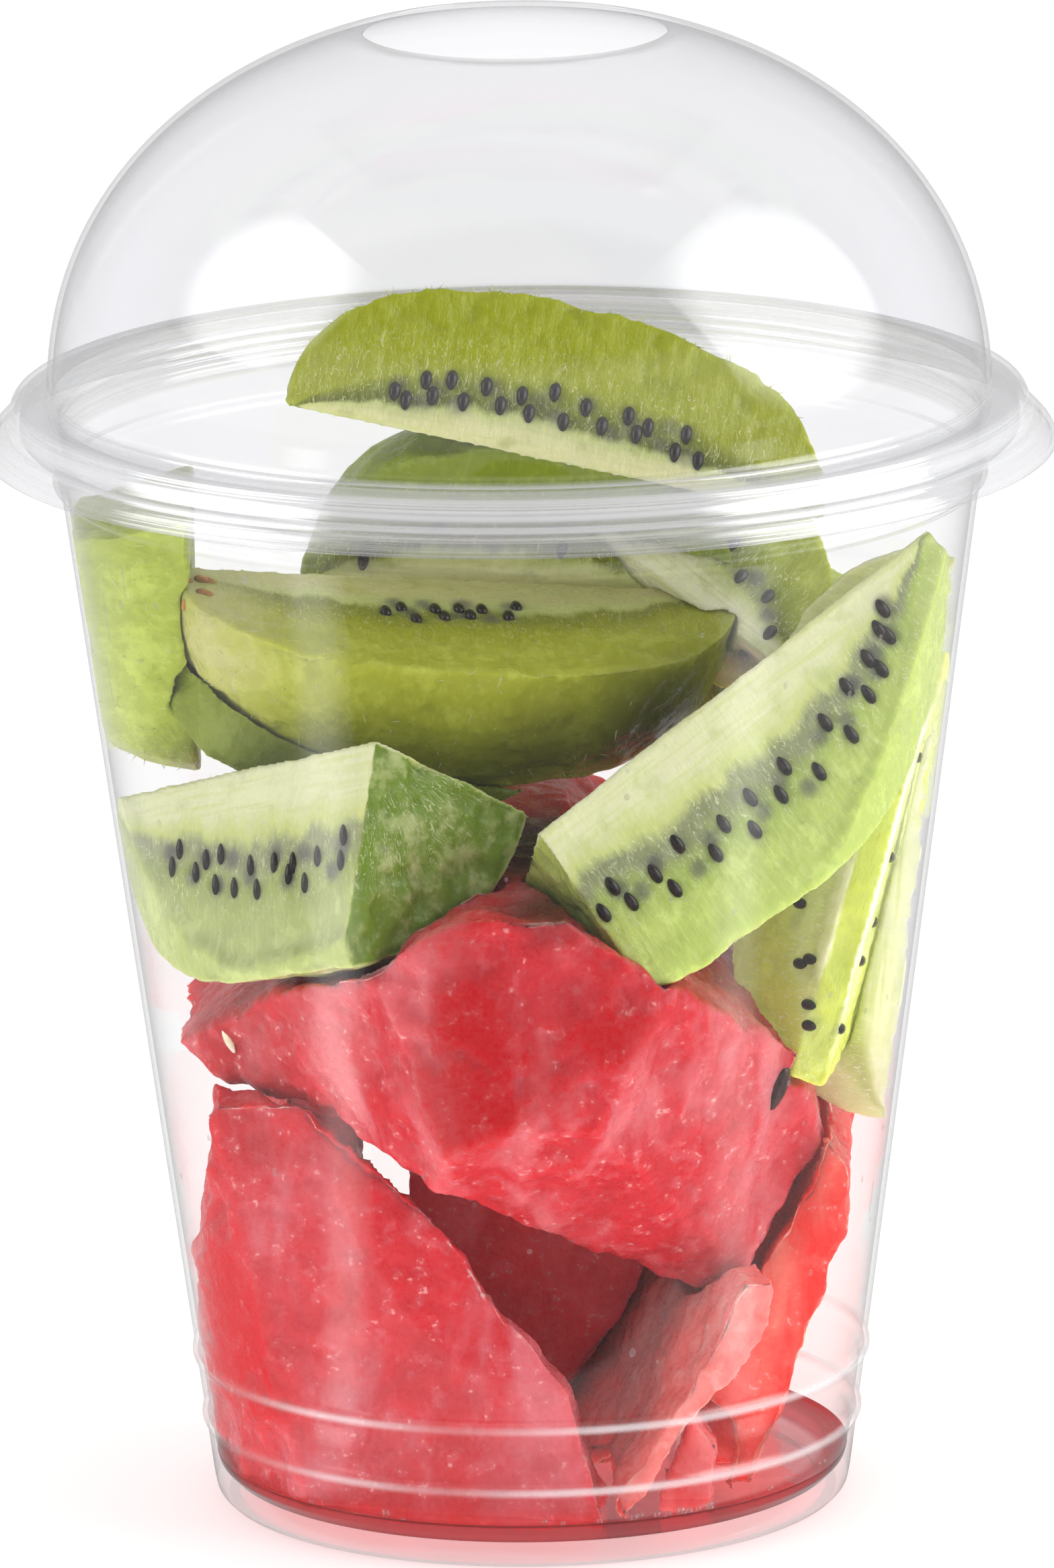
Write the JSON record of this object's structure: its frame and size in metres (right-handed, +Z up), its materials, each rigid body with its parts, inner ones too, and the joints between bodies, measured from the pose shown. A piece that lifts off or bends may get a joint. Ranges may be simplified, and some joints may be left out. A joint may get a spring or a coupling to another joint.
{
  "type": "fruit cup",
  "caption": "Clear flared cup with a domed lid, packed with green kiwi wedges over red melon chunks. A round hole in the top of the dome lets a fork or straw in.",
  "frame": {"origin": "middle of the ring that the cup stands on, in the plane of the surface under it", "axes": "+Z up along the cup's axis, -Y towards the front, where the fruit was arranged to be seen, +X to the right of that view"},
  "size_m": [0.101, 0.101, 0.1411],
  "materials": {
    "clear_plastic": "clear, thin and glossy",
    "kiwi_flesh": "wet fruit",
    "melon_flesh": "wet fruit"
  },
  "bodies": {
    "root": {"cup": "clear_plastic", "lid": "clear_plastic", "kiwi_front_left": "kiwi_flesh", "kiwi_front_right": "kiwi_flesh", "kiwi_across": "kiwi_flesh", "kiwi_top": "kiwi_flesh", "kiwi_low_left": "kiwi_flesh", "kiwi_left": "kiwi_flesh", "kiwi_behind": "kiwi_flesh", "kiwi_under_top": "kiwi_flesh", "kiwi_low_right": "kiwi_flesh", "kiwi_wall_right": "kiwi_flesh", "kiwi_back_left": "kiwi_flesh", "kiwi_back_right": "kiwi_flesh", "melon_left": "melon_flesh", "melon_top": "melon_flesh", "melon_leaning": "melon_flesh", "melon_small": "melon_flesh", "melon_right": "melon_flesh", "melon_back": "melon_flesh", "melon_back_left": "melon_flesh"}
  },
  "joints": []
}
